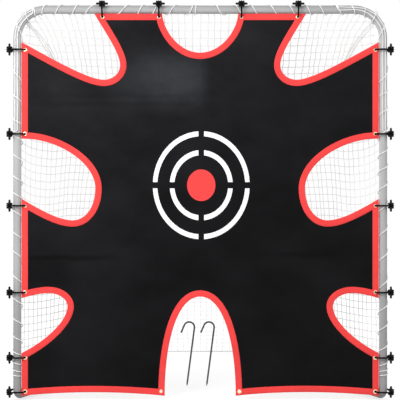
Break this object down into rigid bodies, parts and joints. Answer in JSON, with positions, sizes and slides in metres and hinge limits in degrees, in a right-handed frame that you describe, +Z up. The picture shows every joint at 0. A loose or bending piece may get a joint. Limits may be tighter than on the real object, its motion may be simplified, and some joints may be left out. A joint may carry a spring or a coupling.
{
  "type": "practice goal with target sheet",
  "caption": "Steel-tube practice goal with a laced pyramid net and a cloth target sheet with cut-out openings, held by elastic loops and toggles, with loose wire ground stakes.",
  "frame": {"origin": "on the floor, under the middle of the part's box", "axes": "+X to the right seen from the front, +Y towards the back of the goal, +Z up"},
  "size_m": [1.8334, 1.5102, 1.8912],
  "materials": {
    "tube": "light grey powder coat, satin",
    "cap": "moulded plastic, matt",
    "spring_steel": "spring steel strip",
    "button": "plated steel",
    "sheet": "black woven polyester, matt",
    "binding": "red woven binding tape",
    "white_print": "white ink printed on the cloth",
    "red_print": "red ink printed on the cloth",
    "grommet": "bright brass, rolled",
    "elastic": "black braided elastic cord",
    "toggle": "black moulded plastic, satin",
    "net": "white knotless polyester cord",
    "lacing": "white polyester cord",
    "stake": "galvanised steel wire, dull grey"
  },
  "bodies": {
    "goal": {"top_rail": "tube", "corner_tube_left": "tube", "corner_tube_right": "tube", "upright_left": "tube", "upright_right": "tube", "foot_elbow_left": "tube", "foot_elbow_right": "tube", "ground_bar_left": "tube", "ground_bar_right": "tube", "rear_end_caps": "cap", "button_springs": "spring_steel", "sheet_low_left": "sheet", "sheet_low_right": "sheet", "sheet_middle_left": "sheet", "sheet_middle_right": "sheet", "sheet_top_left": "sheet", "sheet_top_right": "sheet", "border_binding": "binding", "pocket_bindings": "binding", "printed_rings": "white_print", "printed_bullseye": "red_print", "grommets": "grommet", "arch_grommets": "grommet", "bungee_cords": "elastic", "net_back": "net", "net_left": "net", "net_right": "net", "net_hem_cord": "net", "lacing_left": "lacing", "lacing_right": "lacing", "lacing_top": "lacing", "lacing_base_left": "lacing", "lacing_base_right": "lacing"},
    "snap_button_rail_left": {"snap_button_rail_left": "button"},
    "snap_button_rail_right": {"snap_button_rail_right": "button"},
    "snap_button_upright_left": {"snap_button_upright_left": "button"},
    "snap_button_upright_right": {"snap_button_upright_right": "button"},
    "snap_button_foot_left": {"snap_button_foot_left": "button"},
    "snap_button_foot_right": {"snap_button_foot_right": "button"},
    "snap_button_base_left": {"snap_button_base_left": "button"},
    "snap_button_base_right": {"snap_button_base_right": "button"},
    "toggle_left_1": {"toggle_left_1": "toggle"},
    "toggle_left_2": {"toggle_left_2": "toggle"},
    "toggle_left_3": {"toggle_left_3": "toggle"},
    "toggle_left_4": {"toggle_left_4": "toggle"},
    "toggle_left_5": {"toggle_left_5": "toggle"},
    "toggle_left_6": {"toggle_left_6": "toggle"},
    "toggle_right_1": {"toggle_right_1": "toggle"},
    "toggle_right_2": {"toggle_right_2": "toggle"},
    "toggle_right_3": {"toggle_right_3": "toggle"},
    "toggle_right_4": {"toggle_right_4": "toggle"},
    "toggle_right_5": {"toggle_right_5": "toggle"},
    "toggle_right_6": {"toggle_right_6": "toggle"},
    "toggle_top_1": {"toggle_top_1": "toggle"},
    "toggle_top_2": {"toggle_top_2": "toggle"},
    "toggle_top_3": {"toggle_top_3": "toggle"},
    "toggle_top_4": {"toggle_top_4": "toggle"},
    "stake_left": {"stake_left": "stake"},
    "stake_right": {"stake_right": "stake"}
  },
  "joints": [
    {"name": "press_rail_left", "type": "slide", "parent": "goal", "child": "snap_button_rail_left", "axis": [0, -1, 0], "range_m": [0, 0.0046], "stiffness_N_per_m": 3000, "springref_m": -0.001, "deforming": ["button_springs"]},
    {"name": "press_rail_right", "type": "slide", "parent": "goal", "child": "snap_button_rail_right", "axis": [0, -1, 0], "range_m": [0, 0.0046], "stiffness_N_per_m": 3000, "springref_m": -0.001, "deforming": ["button_springs"]},
    {"name": "press_upright_left", "type": "slide", "parent": "goal", "child": "snap_button_upright_left", "axis": [0, -1, 0], "range_m": [0, 0.0046], "stiffness_N_per_m": 3000, "springref_m": -0.001, "deforming": ["button_springs"]},
    {"name": "press_upright_right", "type": "slide", "parent": "goal", "child": "snap_button_upright_right", "axis": [0, -1, 0], "range_m": [0, 0.0046], "stiffness_N_per_m": 3000, "springref_m": -0.001, "deforming": ["button_springs"]},
    {"name": "press_foot_left", "type": "slide", "parent": "goal", "child": "snap_button_foot_left", "axis": [0, -1, 0], "range_m": [0, 0.0046], "stiffness_N_per_m": 3000, "springref_m": -0.001, "deforming": ["button_springs"]},
    {"name": "press_foot_right", "type": "slide", "parent": "goal", "child": "snap_button_foot_right", "axis": [0, -1, 0], "range_m": [0, 0.0046], "stiffness_N_per_m": 3000, "springref_m": -0.001, "deforming": ["button_springs"]},
    {"name": "press_base_left", "type": "slide", "parent": "goal", "child": "snap_button_base_left", "axis": [0.9199, -0.3921, 0], "range_m": [0, 0.0046], "stiffness_N_per_m": 3000, "springref_m": -0.001, "deforming": ["button_springs"]},
    {"name": "press_base_right", "type": "slide", "parent": "goal", "child": "snap_button_base_right", "axis": [-0.9199, -0.3921, 0], "range_m": [0, 0.0046], "stiffness_N_per_m": 3000, "springref_m": -0.001, "deforming": ["button_springs"]},
    {"name": "stretch_left_1", "type": "slide", "parent": "goal", "child": "toggle_left_1", "axis": [-1, 0, 0], "range_m": [0, 0.02], "stiffness_N_per_m": 500, "springref_m": -0.03, "deforming": ["bungee_cords"]},
    {"name": "stretch_left_2", "type": "slide", "parent": "goal", "child": "toggle_left_2", "axis": [-1, 0, 0], "range_m": [0, 0.02], "stiffness_N_per_m": 500, "springref_m": -0.03, "deforming": ["bungee_cords"]},
    {"name": "stretch_left_3", "type": "slide", "parent": "goal", "child": "toggle_left_3", "axis": [-1, 0, 0], "range_m": [0, 0.02], "stiffness_N_per_m": 500, "springref_m": -0.03, "deforming": ["bungee_cords"]},
    {"name": "stretch_left_4", "type": "slide", "parent": "goal", "child": "toggle_left_4", "axis": [-1, 0, 0], "range_m": [0, 0.02], "stiffness_N_per_m": 500, "springref_m": -0.03, "deforming": ["bungee_cords"]},
    {"name": "stretch_left_5", "type": "slide", "parent": "goal", "child": "toggle_left_5", "axis": [-1, 0, 0], "range_m": [0, 0.02], "stiffness_N_per_m": 500, "springref_m": -0.03, "deforming": ["bungee_cords"]},
    {"name": "stretch_left_6", "type": "slide", "parent": "goal", "child": "toggle_left_6", "axis": [-1, 0, 0], "range_m": [0, 0.02], "stiffness_N_per_m": 500, "springref_m": -0.03, "deforming": ["bungee_cords"]},
    {"name": "stretch_right_1", "type": "slide", "parent": "goal", "child": "toggle_right_1", "axis": [1, 0, 0], "range_m": [0, 0.02], "stiffness_N_per_m": 500, "springref_m": -0.03, "deforming": ["bungee_cords"]},
    {"name": "stretch_right_2", "type": "slide", "parent": "goal", "child": "toggle_right_2", "axis": [1, 0, 0], "range_m": [0, 0.02], "stiffness_N_per_m": 500, "springref_m": -0.03, "deforming": ["bungee_cords"]},
    {"name": "stretch_right_3", "type": "slide", "parent": "goal", "child": "toggle_right_3", "axis": [1, 0, 0], "range_m": [0, 0.02], "stiffness_N_per_m": 500, "springref_m": -0.03, "deforming": ["bungee_cords"]},
    {"name": "stretch_right_4", "type": "slide", "parent": "goal", "child": "toggle_right_4", "axis": [1, 0, 0], "range_m": [0, 0.02], "stiffness_N_per_m": 500, "springref_m": -0.03, "deforming": ["bungee_cords"]},
    {"name": "stretch_right_5", "type": "slide", "parent": "goal", "child": "toggle_right_5", "axis": [1, 0, 0], "range_m": [0, 0.02], "stiffness_N_per_m": 500, "springref_m": -0.03, "deforming": ["bungee_cords"]},
    {"name": "stretch_right_6", "type": "slide", "parent": "goal", "child": "toggle_right_6", "axis": [1, 0, 0], "range_m": [0, 0.02], "stiffness_N_per_m": 500, "springref_m": -0.03, "deforming": ["bungee_cords"]},
    {"name": "stretch_top_1", "type": "slide", "parent": "goal", "child": "toggle_top_1", "axis": [0, 0, 1], "range_m": [0, 0.02], "stiffness_N_per_m": 500, "springref_m": -0.03, "deforming": ["bungee_cords"]},
    {"name": "stretch_top_2", "type": "slide", "parent": "goal", "child": "toggle_top_2", "axis": [0, 0, 1], "range_m": [0, 0.02], "stiffness_N_per_m": 500, "springref_m": -0.03, "deforming": ["bungee_cords"]},
    {"name": "stretch_top_3", "type": "slide", "parent": "goal", "child": "toggle_top_3", "axis": [0, 0, 1], "range_m": [0, 0.02], "stiffness_N_per_m": 500, "springref_m": -0.03, "deforming": ["bungee_cords"]},
    {"name": "stretch_top_4", "type": "slide", "parent": "goal", "child": "toggle_top_4", "axis": [0, 0, 1], "range_m": [0, 0.02], "stiffness_N_per_m": 500, "springref_m": -0.03, "deforming": ["bungee_cords"]},
    {"name": "lift_stake_left", "type": "slide", "parent": "goal", "child": "stake_left", "axis": [0.1288, 0, 0.9917], "range_m": [0, 0.3]},
    {"name": "lift_stake_right", "type": "slide", "parent": "goal", "child": "stake_right", "axis": [0.1288, 0, 0.9917], "range_m": [0, 0.3]}
  ]
}
